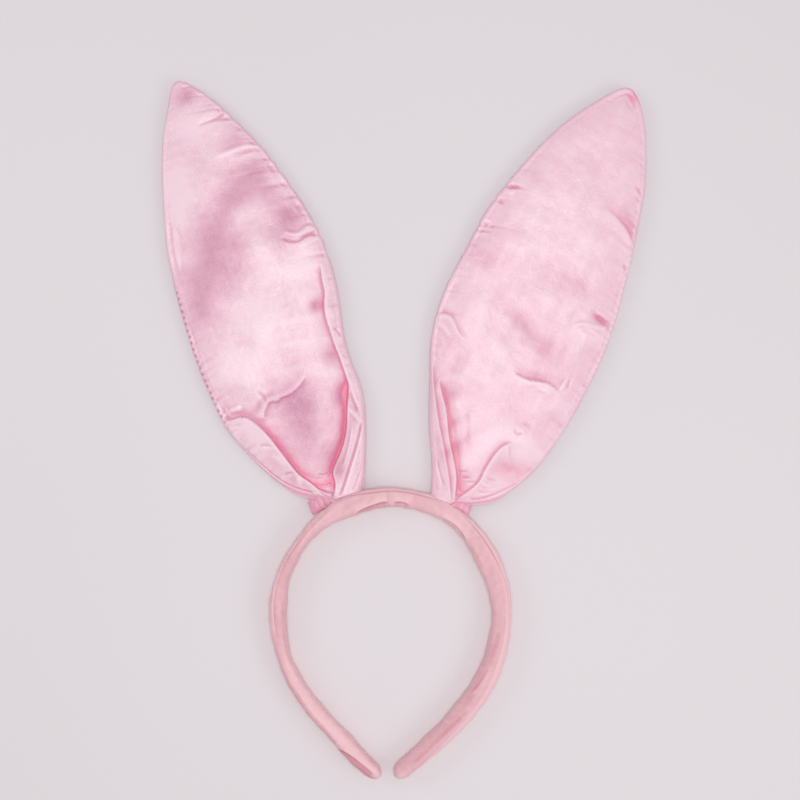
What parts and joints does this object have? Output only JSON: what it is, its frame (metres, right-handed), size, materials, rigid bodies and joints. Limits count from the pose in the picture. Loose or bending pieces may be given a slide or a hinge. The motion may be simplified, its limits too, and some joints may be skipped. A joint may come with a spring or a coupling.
{
  "type": "animal ears headband",
  "caption": "Springy open hoop in a loose fabric sleeve, worn on the head, with tall leaf-shaped padded satin ears that are gathered at the base, wired at the edge and sewn to the crown.",
  "frame": {"origin": "on the table under the middle of the headband's footprint; the headband lies on its back", "axes": "+Z out of the front of the headband, away from the table; +Y from the hoop's open tips to the ear tips; +X to the viewer's right when the ears are upright and seen from the front"},
  "size_m": [0.251, 0.363, 0.011],
  "materials": {
    "satin": "pink satin with a soft sheen",
    "sleeve_fabric": "matt peach-pink woven fabric",
    "core_plastic": "plain moulded strip",
    "glue": "set hot-melt glue",
    "wire": "thin soft steel wire",
    "wadding": "loose white polyester wadding",
    "thread": "pink sewing thread"
  },
  "bodies": {
    "headband_crown": {"headband_core_crown": "core_plastic", "headband_sleeve_crown": "sleeve_fabric", "left_ear_tail": "satin", "left_ear_tacking_stitches": "thread", "right_ear_tail": "satin", "right_ear_tacking_stitches": "thread"},
    "left_arm": {"left_arm_core": "core_plastic", "left_arm_sleeve": "sleeve_fabric", "left_tip_glue": "glue"},
    "left_ear": {"left_ear_back_panel_lower": "satin", "left_ear_binding_thread": "thread", "left_ear_edge_wire_lower": "wire", "left_ear_front_panel_lower": "satin", "left_ear_gathered_neck": "satin", "left_ear_seam_thread_lower": "thread", "left_ear_wadding_lower": "wadding"},
    "left_ear_tip": {"left_ear_back_panel_upper": "satin", "left_ear_edge_wire_upper": "wire", "left_ear_front_panel_upper": "satin", "left_ear_seam_thread_upper": "thread", "left_ear_wadding_upper": "wadding"},
    "right_arm": {"right_arm_core": "core_plastic", "right_arm_sleeve": "sleeve_fabric", "right_tip_glue": "glue"},
    "right_ear": {"right_ear_back_panel_lower": "satin", "right_ear_binding_thread": "thread", "right_ear_edge_wire_lower": "wire", "right_ear_front_panel_lower": "satin", "right_ear_gathered_neck": "satin", "right_ear_seam_thread_lower": "thread", "right_ear_wadding_lower": "wadding"},
    "right_ear_tip": {"right_ear_back_panel_upper": "satin", "right_ear_edge_wire_upper": "wire", "right_ear_front_panel_upper": "satin", "right_ear_seam_thread_upper": "thread", "right_ear_wadding_upper": "wadding"}
  },
  "joints": [
    {"name": "left_arm_flex", "type": "hinge", "parent": "headband_crown", "child": "left_arm", "pos_m": [-0.05607, -0.05833, 0.0055], "axis": [0, 0, -1], "range_deg": [0, 28], "stiffness_Nm_per_rad": 0.45},
    {"name": "right_arm_flex", "type": "hinge", "parent": "headband_crown", "child": "right_arm", "pos_m": [0.03911, -0.05833, 0.0055], "axis": [0, 0, 1], "range_deg": [0, 28], "stiffness_Nm_per_rad": 0.45},
    {"name": "left_ear_tilt", "type": "hinge", "parent": "headband_crown", "child": "left_ear", "pos_m": [-0.03571, -0.02985, 0.0042], "axis": [0.9311, 0.3649, 0], "range_deg": [0, 60]},
    {"name": "left_ear_fold", "type": "hinge", "parent": "left_ear", "child": "left_ear_tip", "pos_m": [-0.07183, 0.06233, 0.0085], "axis": [0.9311, 0.3649, 0], "range_deg": [0, 60]},
    {"name": "right_ear_tilt", "type": "hinge", "parent": "headband_crown", "child": "right_ear", "pos_m": [0.02449, -0.03274, 0.0042], "axis": [0.9178, -0.3971, 0], "range_deg": [0, 60]},
    {"name": "right_ear_fold", "type": "hinge", "parent": "right_ear", "child": "right_ear_tip", "pos_m": [0.06381, 0.05811, 0.0085], "axis": [0.9178, -0.3971, 0], "range_deg": [0, 60]}
  ]
}
